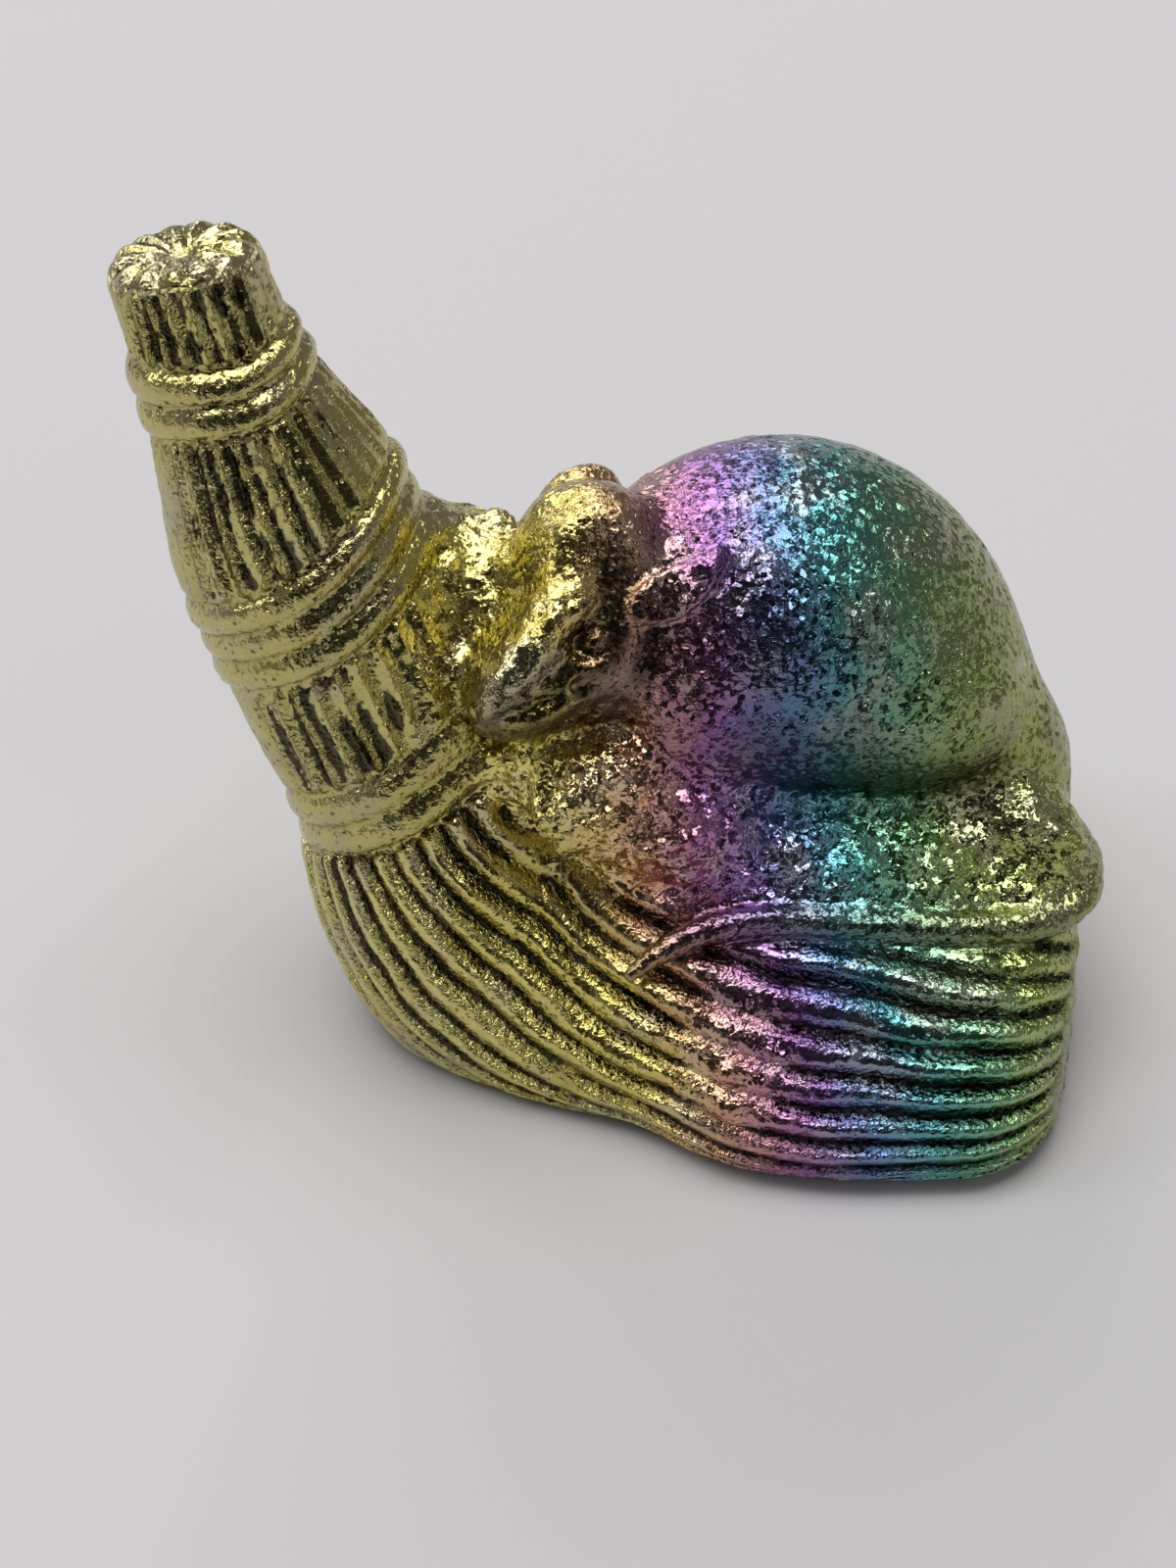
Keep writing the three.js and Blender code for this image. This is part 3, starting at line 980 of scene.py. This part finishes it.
lump = (LUMP_LEAST + LUMP_OF_RAT * of_rat + LUMP_HEIGHT * lumpy) * off_floor
grain = GRAIN_LEAST + GRAIN_OF_RAT * of_rat - GRAIN_WORN_OFF * np.maximum(on_face, on_crown)
grain += GRAIN_BROKEN * broken
grain += GRAIN_OF_TAIL * of_tail
grain += GRAIN_BROKEN_BRISTLES * broken_bristles
bare = BARE_TAIL * of_tail + BARE_NOSE * on_snout * soft_patch(points, NOSE_PATCH)

# Painted shade: the rat is darkened where it turns under and where metal closes in over it, on the near
# side of the face, under the jaw and in the eye; the tail is darkened all over.
turned_under = UNDERSIDE * smoothstep(-normals[:, 2], *FACING_DOWN)
belly = np.maximum(closed_in(RECESS_REACH), turned_under) * of_rat * smoothstep(points[:, 0], *BELLY_START)
face_side = smoothstep(normals @ NEAR_SIDE[0], *FACE_SIDE_FACING)
face_side *= smoothstep(-side_of(points, FAR_SIDE), *FACE_SIDE_INSET)
under_jaw = smoothstep(-normals[:, 2], *JAW_FACING_DOWN) * soft_patch(points, JAW_PATCH) * of_rat
painted_shade = np.max(
    [
        BELLY_SHADE * smoothstep(belly, *BELLY_CLOSED),
        FACE_SHADE * face_side * on_face * (1 - on_snout),
        JAW_SHADE * under_jaw,
        EYE_SHADE * soft_patch(points, EYE_PATCH),
        TAIL_SHADE * of_tail,
    ],
    axis=0,
)
finishes = {
    "ridge": ridge,
    "ridge_power": ridge_power,
    "ridge_depth": ridge_depth,
    "ridge_lean": ridge_lean,
    "lump": lump,
    "grain": np.clip(grain, 0, 1),
    "bare": np.clip(bare, 0, 1),
    # How far metal closes in just above each point, for painted shade in crevices.
    "hollow": closed_in(HOLLOW_REACH),
    "painted_shade": painted_shade,
}

skin_mesh = bpy.data.meshes.new("smooth_skin")
skin_mesh.from_pydata((points - BOX_MIDDLE) * MM, [], faces.tolist())
skin_mesh.shade_smooth()
for name, amount in finishes.items():
    told = skin_mesh.attributes.new(name, "FLOAT", "POINT")
    told.data.foreach_set("value", amount.astype(np.float32))


# The cast relief
# Straw left its ridges in the wax that the mould was made from, and tools left its small
# lumps. The relief follows the skin, so geometry nodes raise it along the skin's normals.

STRAW_WANDER = 0.07
WANDER_PER_MM = 0.2
WANDER_GAIN = 4.0
STRAW_LEAST = 0.6
STRAW_SPREAD = 0.5
WEAR_PER_MM = 0.33
WEAR_MIDDLE = 0.75
WEAR_SPREAD = 1.7
LEAN_SPREAD = 1.4
GROOVE_SHARE = 0.7
LUMP_SIZE = 0.0008
LUMP_FACES_PER_MM = 0.8
LUMP_STAND = 2.4
RELIEF_SEED = 5
MILLIMETRES = 1000.0


def add_node(tree, kind, inputs=None, **settings):
    """A new node, with its sockets given values or other nodes' outputs."""
    new = tree.nodes.new(kind)
    for name, setting in settings.items():
        setattr(new, name, setting)
    for socket, value in (inputs or {}).items():
        if isinstance(value, bpy.types.NodeSocket):
            tree.links.new(value, new.inputs[socket])
        else:
            new.inputs[socket].default_value = value
    return new


def maths(tree, operation, *values):
    """The result of a maths node."""
    return add_node(tree, "ShaderNodeMath", dict(enumerate(values)), operation=operation).outputs[0]


def scaled(tree, vector, amount):
    """A vector or a colour times a number."""
    inputs = {0: vector, "Scale": amount}
    return add_node(tree, "ShaderNodeVectorMath", inputs, operation="SCALE").outputs[0]


def noise(tree, where, scale, detail=2.0, seed=0.0):
    """Noise about 0, from -0.5 to 0.5."""
    inputs = {"Vector": where, "W": seed, "Scale": scale, "Detail": detail}
    value = add_node(tree, "ShaderNodeTexNoise", inputs, noise_dimensions="4D").outputs[0]
    return maths(tree, "SUBTRACT", value, 0.5)


def dome(tree, count, power):
    """A row of ridges, one to each whole number, 0 to 1. A higher power rounds their tops."""
    to_side = maths(tree, "ABSOLUTE", maths(tree, "SUBTRACT", maths(tree, "FRACT", count), 0.5))
    return maths(tree, "SUBTRACT", 1.0, maths(tree, "POWER", maths(tree, "MULTIPLY", to_side, 2.0), power))


def facets(tree, where, per_mm):
    """How high small crystal faces stand, each one flat and tilted its own way."""
    cells = add_node(tree, "ShaderNodeTexVoronoi", {"Vector": where, "Scale": per_mm}).outputs
    inputs = {0: where, 1: cells["Position"]}
    from_middle = add_node(tree, "ShaderNodeVectorMath", inputs, operation="SUBTRACT").outputs[0]
    inputs = {0: cells["Color"], 1: (0.5, 0.5, 0.5)}
    tilt = add_node(tree, "ShaderNodeVectorMath", inputs, operation="SUBTRACT").outputs[0]
    inputs = {0: from_middle, 1: tilt}
    return add_node(tree, "ShaderNodeVectorMath", inputs, operation="DOT_PRODUCT").outputs["Value"]


def own_number(tree, whole):
    """A random number for each whole number, from 0 to 1."""
    return add_node(tree, "ShaderNodeTexWhiteNoise", {"W": whole}, noise_dimensions="1D").outputs[0]


def attribute(tree, name):
    """A finish of the skin, as its points hold it."""
    return add_node(tree, "GeometryNodeInputNamedAttribute", {"Name": name}, data_type="FLOAT").outputs[0]


relief = bpy.data.node_groups.new("cast_relief", "GeometryNodeTree")
relief.is_modifier = True
relief.interface.new_socket("Skin", in_out="INPUT", socket_type="NodeSocketGeometry")
settings = {"Straw Wander": "Float", "Lump Size": "Float", "Seed": "Float", "Metal": "Material"}
for name, kind in settings.items():
    relief.interface.new_socket(name, in_out="INPUT", socket_type="NodeSocket" + kind)
relief.interface.new_socket("Casting", in_out="OUTPUT", socket_type="NodeSocketGeometry")
given = relief.nodes.new("NodeGroupInput").outputs
seed = given["Seed"]

place = add_node(relief, "GeometryNodeInputPosition").outputs[0]
place_mm = scaled(relief, place, MILLIMETRES)
wander = maths(relief, "MULTIPLY", given["Straw Wander"], WANDER_GAIN)
wandering = noise(relief, place_mm, WANDER_PER_MM, 1.0, seed)
count = maths(relief, "MULTIPLY_ADD", wandering, wander, attribute(relief, "ridge"))
worn = noise(relief, place_mm, WEAR_PER_MM, 2.0, seed)
worn = maths(relief, "MULTIPLY_ADD", worn, WEAR_SPREAD, WEAR_MIDDLE)
one_straw = own_number(relief, maths(relief, "FLOOR", count))
height = maths(relief, "MULTIPLY_ADD", one_straw, STRAW_SPREAD, STRAW_LEAST)
height = maths(relief, "MULTIPLY", height, worn)
height = maths(relief, "MULTIPLY", height, attribute(relief, "ridge_depth"))

own_lean = own_number(relief, maths(relief, "CEIL", count))
own_lean = maths(relief, "SUBTRACT", own_lean, 0.5)
own_lean = maths(relief, "MULTIPLY_ADD", own_lean, LEAN_SPREAD, attribute(relief, "ridge_lean"))
across = maths(relief, "SUBTRACT", maths(relief, "FRACT", count), 0.5)
ridges = dome(relief, count, attribute(relief, "ridge_power"))
ridges = maths(relief, "SUBTRACT", ridges, GROOVE_SHARE)
ridges = maths(relief, "MULTIPLY_ADD", across, own_lean, ridges)
ridges = maths(relief, "MULTIPLY", ridges, height)

per_lump = maths(relief, "DIVIDE", 1.0, given["Lump Size"])
lumps = maths(relief, "MULTIPLY", noise(relief, place, per_lump, 3.0, seed), LUMP_STAND)
lumps = maths(relief, "MULTIPLY_ADD", facets(relief, place_mm, LUMP_FACES_PER_MM), LUMP_STAND, lumps)
lumps = maths(relief, "MULTIPLY", lumps, attribute(relief, "lump"))
rise = maths(relief, "DIVIDE", maths(relief, "ADD", ridges, lumps), MILLIMETRES)
normal = add_node(relief, "GeometryNodeInputNormal").outputs[0]
offset = scaled(relief, normal, rise)

shape = given["Skin"]
for name, amount in (("ridge", count), ("ridge_height", height)):
    inputs = {"Geometry": shape, "Name": name, "Value": amount}
    stored = add_node(relief, "GeometryNodeStoreNamedAttribute", inputs, data_type="FLOAT", domain="POINT")
    shape = stored.outputs[0]
raised = add_node(relief, "GeometryNodeSetPosition", {"Geometry": shape, "Offset": offset}).outputs[0]
whole = add_node(relief, "GeometryNodeRealizeInstances", {"Geometry": raised}).outputs[0]
inputs = {"Geometry": whole, "Material": given["Metal"]}
metalled = add_node(relief, "GeometryNodeSetMaterial", inputs).outputs[0]
relief.links.new(metalled, relief.nodes.new("NodeGroupOutput").inputs["Casting"])


# The oxide skin
# Bismuth is a pinkish silver metal. Left hot in air it grows a clear oxide film, and the
# film's thickness sets the colour: gold where it is thin, through pink and blue to green.

FILM_COLORS = [
    (-12.0, (0.54, 0.48, 0.18)),
    (-2.0, (0.56, 0.48, 0.13)),
    (2.4, (0.53, 0.31, 0.19)),
    (5.2, (0.35, 0.15, 0.26)),
    (7.2, (0.25, 0.13, 0.34)),
    (9.8, (0.14, 0.21, 0.39)),
    (12.6, (0.10, 0.31, 0.32)),
    (15.6, (0.17, 0.36, 0.21)),
    (19.0, (0.31, 0.38, 0.13)),
    (25.0, (0.39, 0.41, 0.13)),
]
FILM_START = -14.0
FILM_END = 26.0
DRIFT_PER_MM = 0.22
DRIFT = 3.6
MOTTLE_PER_MM = 2.1
MOTTLE = 4.2
FOOT_HEIGHTS = (6.0, 14.0)
FOOT_SHIFT = -3.6
BARE_METAL = (0.40, 0.355, 0.30, 1.0)
BARE_SHARE = 0.85
BLOTCHES_PER_MM = 0.3
BLOTCH_EDGE = (-0.04, 0.16)
BLOTCH_SHARE = 0.45
# The grooves' near-black is partly oxide left in them and partly painted shade and the dark they mirror;
# every painted shade below runs to it too.
GROOVE_OXIDE_AND_SHADE = (0.03, 0.026, 0.02, 1.0)
RIDGES_OXIDISED_AND_SHADED = (0.12, 0.4)
OXIDE_AND_SHADE_PER_MM = 0.9
OXIDE_AND_SHADE_RAGGED = 0.7
OXIDE_AND_SHADE_EDGE = (0.56, 0.74)
GROOVE_SHADE = 0.9
HOLLOW_SHADE = 0.3
PIT_SHADE = 0.6
# Painted highlight: how lumpy the metal must be before its colour is raised, and by how much.
LUMPY = (0.05, 0.2)
LUMP_GLINT = 1.5
POLISHED_RIDGES = (0.12, 0.5)
POLISH = 0.3
SMOOTHEST = 0.10
ROUGHEST = 0.24
FINE_PER_MM = 3.2
FINE_RISE = 0.10
PITS_PER_MM = 1.9
PIT_RAGGED = 0.8
PIT_SIZE = 0.28
PIT_RISE = -0.10
WAVES_PER_MM = 1.5
WAVE_RISE = 0.06
GRAIN_PER_MM = 3.3
GRAIN_RISE = 0.6
CRYSTALS_PER_MM = 1.5
CRYSTAL_RISE = 3.0
RIDGE_RAGGED = 0.3
CREST_SHARE = 0.67
CREST_RISE = 0.8

oxide = bpy.data.materials.new("oxidised_bismuth_film")
oxide.use_nodes = True
tree = oxide.node_tree
metal = tree.nodes["Principled BSDF"]
metal.inputs["Metallic"].default_value = 1.0


def finish_of(name):
    """A finish of the skin, as the material reads it."""
    return add_node(tree, "ShaderNodeAttribute", attribute_name=name).outputs["Fac"]


def mixed(share, one, two):
    """One colour running into another."""
    return add_node(tree, "ShaderNodeMix", {0: share, 6: one, 7: two}, data_type="RGBA").outputs[2]


def ranged(value, low, high, start=0.0, end=1.0, curve="SMOOTHSTEP"):
    """A value's way from low to high, as a way from start to end."""
    inputs = {0: value, 1: low, 2: high, 3: start, 4: end}
    return add_node(tree, "ShaderNodeMapRange", inputs, interpolation_type=curve).outputs[0]


def shaded(dark, mask, share):
    """The darker of what is dark already and this share of a mask."""
    return maths(tree, "MAXIMUM", dark, maths(tree, "MULTIPLY", mask, share))


here = add_node(tree, "ShaderNodeTexCoord").outputs["Object"]
here_mm = scaled(tree, here, MILLIMETRES)
axes = add_node(tree, "ShaderNodeSeparateXYZ", {0: here_mm}).outputs
film = maths(tree, "ADD", axes["X"], float(BOX_MIDDLE[0]))
film = maths(tree, "ADD", film, ranged(axes["Z"], *FOOT_HEIGHTS, FOOT_SHIFT, 0.0))
film = maths(tree, "MULTIPLY_ADD", noise(tree, here_mm, DRIFT_PER_MM, 2.0), DRIFT, film)
film = maths(tree, "MULTIPLY_ADD", noise(tree, here_mm, MOTTLE_PER_MM, 3.0), MOTTLE, film)
film = ranged(film, FILM_START, FILM_END, curve="LINEAR")
ramp = add_node(tree, "ShaderNodeValToRGB", {0: film})
while len(ramp.color_ramp.elements) > 1:
    ramp.color_ramp.elements.remove(ramp.color_ramp.elements[-1])
for k, (start, color) in enumerate(FILM_COLORS):
    spot = (start - FILM_START) / (FILM_END - FILM_START)
    stop = ramp.color_ramp.elements.new(spot) if k else ramp.color_ramp.elements[0]
    stop.position = spot
    stop.color = (*color, 1.0)

fine = noise(tree, here_mm, FINE_PER_MM, 3.0)
inputs = {"Vector": here_mm, "Scale": PITS_PER_MM, "Randomness": 1.0}
from_pit = add_node(tree, "ShaderNodeTexVoronoi", inputs).outputs["Distance"]
pits = ranged(maths(tree, "MULTIPLY_ADD", fine, PIT_RAGGED, from_pit), 0.0, PIT_SIZE, 1.0, 0.0)
ridge_here = maths(tree, "MULTIPLY_ADD", fine, RIDGE_RAGGED, finish_of("ridge"))
ridge_height = finish_of("ridge_height")
crest = dome(tree, ridge_here, maths(tree, "MULTIPLY", finish_of("ridge_power"), CREST_SHARE))

blotch = ranged(noise(tree, here_mm, BLOTCHES_PER_MM, 3.0), *BLOTCH_EDGE)
greyed = maths(tree, "MULTIPLY", finish_of("bare"), BARE_SHARE)
greyed = maths(tree, "MAXIMUM", greyed, maths(tree, "MULTIPLY", blotch, BLOTCH_SHARE))
color = mixed(greyed, ramp.outputs["Color"], BARE_METAL)
polished = maths(tree, "MULTIPLY", crest, ranged(ridge_height, *POLISHED_RIDGES))
# Painted highlight: lumpy, broken metal gets up to half again brighter colour, standing in for the light
# its crystals catch.
glint_gain = ranged(finish_of("lump"), *LUMPY, 1.0, LUMP_GLINT)
color = scaled(tree, color, maths(tree, "MULTIPLY_ADD", polished, POLISH, glint_gain))

# Grooves between tall ridges are darkened, partly for the oxide left in them and partly as painted shade.
in_groove = maths(tree, "SUBTRACT", 1.0, crest)
in_groove = maths(tree, "MULTIPLY", in_groove, ranged(ridge_height, *RIDGES_OXIDISED_AND_SHADED))
ragged = noise(tree, here_mm, OXIDE_AND_SHADE_PER_MM, 3.0)
in_groove = maths(tree, "MULTIPLY_ADD", ragged, OXIDE_AND_SHADE_RAGGED, in_groove)
dark = maths(tree, "MULTIPLY", ranged(in_groove, *OXIDE_AND_SHADE_EDGE), GROOVE_SHADE)
# Painted shade: crevices where other metal closes in just above the skin are darkened.
dark = shaded(dark, ranged(finish_of("hollow"), 0.5, 1.0), HOLLOW_SHADE)
# Painted shade under the rat, on the face's near side, under the jaw and in the eye, and the tail darkened
# all over.
dark = shaded(dark, finish_of("painted_shade"), 1.0)
dark = shaded(dark, pits, PIT_SHADE)
# Every darkening, oxide and painted shade alike, runs to the same near-black.
tree.links.new(mixed(dark, color, GROOVE_OXIDE_AND_SHADE), metal.inputs["Base Color"])
tree.links.new(ranged(fine, -0.2, 0.25, SMOOTHEST, ROUGHEST), metal.inputs["Roughness"])

grains = maths(tree, "MULTIPLY", facets(tree, here_mm, GRAIN_PER_MM), finish_of("grain"))
crystals = maths(tree, "MULTIPLY", facets(tree, here_mm, CRYSTALS_PER_MM), finish_of("lump"))
crests = maths(tree, "MULTIPLY", crest, ridge_height)
skin_height = maths(tree, "MULTIPLY", noise(tree, here_mm, WAVES_PER_MM, 1.0), WAVE_RISE)
for form, form_rise in (
    (pits, PIT_RISE),
    (fine, FINE_RISE),
    (grains, GRAIN_RISE),
    (crystals, CRYSTAL_RISE),
    (crests, CREST_RISE),
):
    skin_height = maths(tree, "MULTIPLY_ADD", form, form_rise, skin_height)
bump = add_node(tree, "ShaderNodeBump", {"Strength": 1.0, "Distance": MM, "Height": skin_height})
tree.links.new(bump.outputs["Normal"], metal.inputs["Normal"])

smooth_skin = bpy.data.objects.new("smooth_skin", skin_mesh)
bpy.context.scene.collection.objects.link(smooth_skin)
raising = smooth_skin.modifiers.new("cast_relief", "NODES")
raising.node_group = relief
set_to = {"Straw Wander": STRAW_WANDER, "Lump Size": LUMP_SIZE, "Seed": float(RELIEF_SEED), "Metal": oxide}
for item in relief.interface.items_tree:
    if item.name in set_to:
        raising[item.identifier] = set_to[item.name]
evaluated = smooth_skin.evaluated_get(bpy.context.evaluated_depsgraph_get())
raised_mesh = bpy.data.meshes.new_from_object(evaluated)
raised_mesh.name = "rat_on_broom_skin"
smooth_skin.modifiers.remove(raising)
bpy.data.objects.remove(smooth_skin)
rat_on_broom = bpy.data.objects.new("rat_on_broom_skin", raised_mesh)
bpy.context.scene.collection.objects.link(rat_on_broom)

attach(rat_on_broom, "root")
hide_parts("rat_on_broom")
